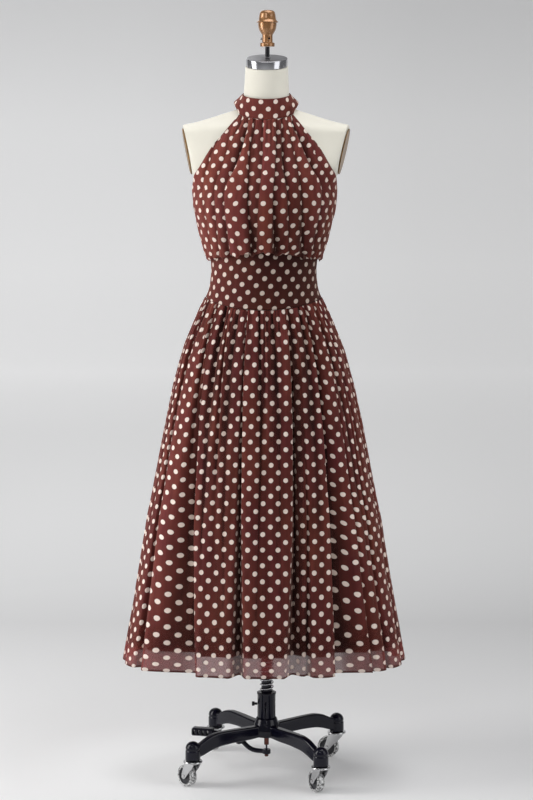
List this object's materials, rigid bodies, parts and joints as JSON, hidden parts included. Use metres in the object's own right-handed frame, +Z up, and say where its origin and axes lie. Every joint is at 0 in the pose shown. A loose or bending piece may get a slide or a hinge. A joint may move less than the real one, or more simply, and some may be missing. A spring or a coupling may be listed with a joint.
{
  "type": "halter a-line dress on a dress form and castered stand",
  "caption": "gathered chiffon halter a-line dress with cream dots on a limbless cream dress form and black cast castered stand",
  "frame": {"origin": "on the floor under the middle of the stand's pole", "axes": "+Z up along the pole, -Y the front of the dress, +X to the viewer's right when facing the front"},
  "size_m": [0.6512, 0.43, 1.742],
  "materials": {
    "printed_chiffon": "sheer chiffon, brown burgundy with cream dots",
    "lining_cloth": "plain matte lining",
    "form_cover": "cream jersey cover",
    "copper_lacquer": "lacquered copper colour",
    "antique_gold": "dark gold paint",
    "chrome_plate": "polished",
    "black_enamel": "gloss black enamel",
    "black_steel": "dark satin",
    "wheel_tread": "hard rubber"
  },
  "bodies": {
    "stand": {"base_casting": "black_enamel", "column": "black_enamel", "column_set_screw": "black_steel", "spring": "black_steel"},
    "dressed_form": {"pole": "black_enamel", "pole_collar": "black_enamel", "form_bottom_plate": "black_enamel", "torso": "form_cover", "arm_plate_left": "antique_gold", "arm_plate_right": "antique_gold", "neck_cap": "chrome_plate", "neck_rod": "black_steel", "finial": "copper_lacquer", "finial_screw": "chrome_plate", "neckband": "printed_chiffon", "bodice_front": "printed_chiffon", "bodice_back_left": "printed_chiffon", "bodice_back_right": "printed_chiffon", "midriff_front": "printed_chiffon", "midriff_back_left": "printed_chiffon", "midriff_back_right": "printed_chiffon", "skirt_front": "printed_chiffon", "skirt_back_left": "printed_chiffon", "skirt_back_right": "printed_chiffon", "skirt_lining": "lining_cloth", "neck_button_1": "lining_cloth", "neck_button_2": "lining_cloth", "button_loop_1": "lining_cloth", "button_loop_2": "lining_cloth", "zip_slider": "black_steel"},
    "pedal": {"pedal_lever": "black_enamel"},
    "pull_tab": {"zip_pull_tab": "black_steel"},
    "caster_back_right": {"caster_fork_back_right": "chrome_plate"},
    "wheel_back_right": {"caster_wheel_back_right": "wheel_tread"},
    "caster_back_left": {"caster_fork_back_left": "chrome_plate"},
    "wheel_back_left": {"caster_wheel_back_left": "wheel_tread"},
    "caster_front_left": {"caster_fork_front_left": "chrome_plate"},
    "wheel_front_left": {"caster_wheel_front_left": "wheel_tread"},
    "caster_front_right": {"caster_fork_front_right": "chrome_plate"},
    "wheel_front_right": {"caster_wheel_front_right": "wheel_tread"}
  },
  "joints": [
    {"name": "height_slide", "type": "slide", "parent": "stand", "child": "dressed_form", "axis": [0, 0, 1], "range_m": [0, 0.05]},
    {"name": "pedal_hinge", "type": "hinge", "parent": "stand", "child": "pedal", "pos_m": [-0.064, 0.0151, 0.071], "axis": [0.2288, 0.9735, 0], "range_deg": [-3, 0], "stiffness_Nm_per_rad": 3, "springref_deg": 8.59},
    {"name": "pull_tab_hinge", "type": "hinge", "parent": "dressed_form", "child": "pull_tab", "pos_m": [-0.00117, 0.09092, 1.49586], "axis": [1, 0, 0], "range_deg": [0, 150]},
    {"name": "swivel_back_right", "type": "hinge", "parent": "stand", "child": "caster_back_right", "pos_m": [0.16623, 0.12166, 0.066], "axis": [0, 0, 1], "continuous": true},
    {"name": "axle_back_right", "type": "hinge", "parent": "caster_back_right", "child": "wheel_back_right", "pos_m": [0.14697, 0.12868, 0.025], "axis": [-0.342, -0.9397, 0], "continuous": true},
    {"name": "swivel_back_left", "type": "hinge", "parent": "stand", "child": "caster_back_left", "pos_m": [-0.12166, 0.16623, 0.066], "axis": [0, 0, 1], "continuous": true},
    {"name": "axle_back_left", "type": "hinge", "parent": "caster_back_left", "child": "wheel_back_left", "pos_m": [-0.12766, 0.18584, 0.025], "axis": [-0.9563, -0.2924, 0], "continuous": true},
    {"name": "swivel_front_left", "type": "hinge", "parent": "stand", "child": "caster_front_left", "pos_m": [-0.16623, -0.12166, 0.066], "axis": [0, 0, 1], "continuous": true},
    {"name": "axle_front_left", "type": "hinge", "parent": "caster_front_left", "child": "wheel_front_left", "pos_m": [-0.17995, -0.10643, 0.025], "axis": [-0.7431, -0.6691, 0], "continuous": true},
    {"name": "swivel_front_right", "type": "hinge", "parent": "stand", "child": "caster_front_right", "pos_m": [0.12166, -0.16623, 0.066], "axis": [0, 0, 1], "continuous": true},
    {"name": "axle_front_right", "type": "hinge", "parent": "caster_front_right", "child": "wheel_front_right", "pos_m": [0.11236, -0.14797, 0.025], "axis": [-0.891, -0.454, 0], "continuous": true}
  ]
}
